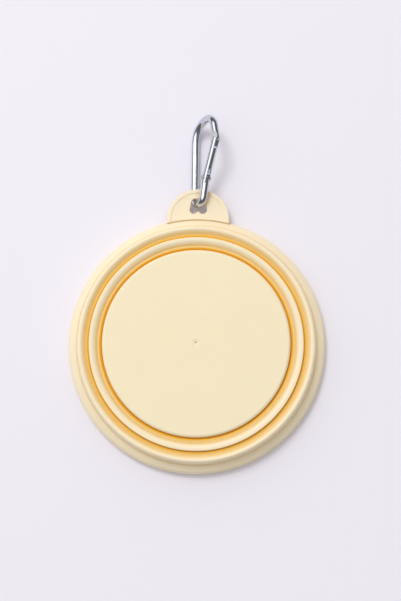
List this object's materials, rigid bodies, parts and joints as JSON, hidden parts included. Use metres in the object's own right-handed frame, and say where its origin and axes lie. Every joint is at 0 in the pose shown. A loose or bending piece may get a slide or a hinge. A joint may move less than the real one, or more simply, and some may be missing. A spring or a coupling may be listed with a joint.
{
  "type": "collapsible pet bowl",
  "caption": "Folding bellows bowl for pets, pressed flat and lying on its mouth, with a hard rim and base and a snap hook hung in the rim's tab.",
  "frame": {"origin": "centre of the mouth, on the plane that the folded bowl lies on", "axes": "+Z along the bowl's axis out through the base plate, +Y through the tab, +X to the side that the hook's gate leans to"},
  "size_m": [0.13, 0.1834, 0.0198],
  "materials": {
    "rim_polypropylene": "smooth moulded",
    "wall_elastomer": "matte moulded",
    "fold_elastomer": "matte moulded",
    "plate_polypropylene": "fine moulded grain",
    "hook_nickel": "polished nickel plate",
    "pin_steel": "drawn steel",
    "spring_steel": "drawn steel wire"
  },
  "bodies": {
    "rim": {"rim": "rim_polypropylene", "wall_collar": "wall_elastomer", "outer_fold": "fold_elastomer"},
    "middle": {"middle_ring": "wall_elastomer", "inner_fold": "fold_elastomer"},
    "base": {"base_skirt": "wall_elastomer", "base_plate": "plate_polypropylene"},
    "hook": {"carabiner_frame": "hook_nickel"},
    "gate": {"gate": "hook_nickel", "hinge_rivet": "pin_steel", "catch_pin": "pin_steel", "gate_spring": "spring_steel"}
  },
  "joints": [
    {"name": "middle_slide", "type": "slide", "parent": "rim", "child": "middle", "axis": [0, 0, 1], "range_m": [0, 0.0196], "deforming": ["outer_fold"]},
    {"name": "base_slide", "type": "slide", "parent": "middle", "child": "base", "axis": [0, 0, 1], "range_m": [0, 0.0196], "deforming": ["inner_fold"]},
    {"name": "hook_turn", "type": "hinge", "parent": "rim", "child": "hook", "pos_m": [0.0002, 0.0735, 0.0053], "axis": [0, -1, 0], "range_deg": [0, 65]},
    {"name": "gate_swing", "type": "hinge", "parent": "hook", "child": "gate", "pos_m": [0.00386, 0.08526, 0.01052], "axis": [-0.8192, 0, 0.5736], "range_deg": [0, 38], "stiffness_Nm_per_rad": 0.015, "springref_deg": -28.65}
  ]
}
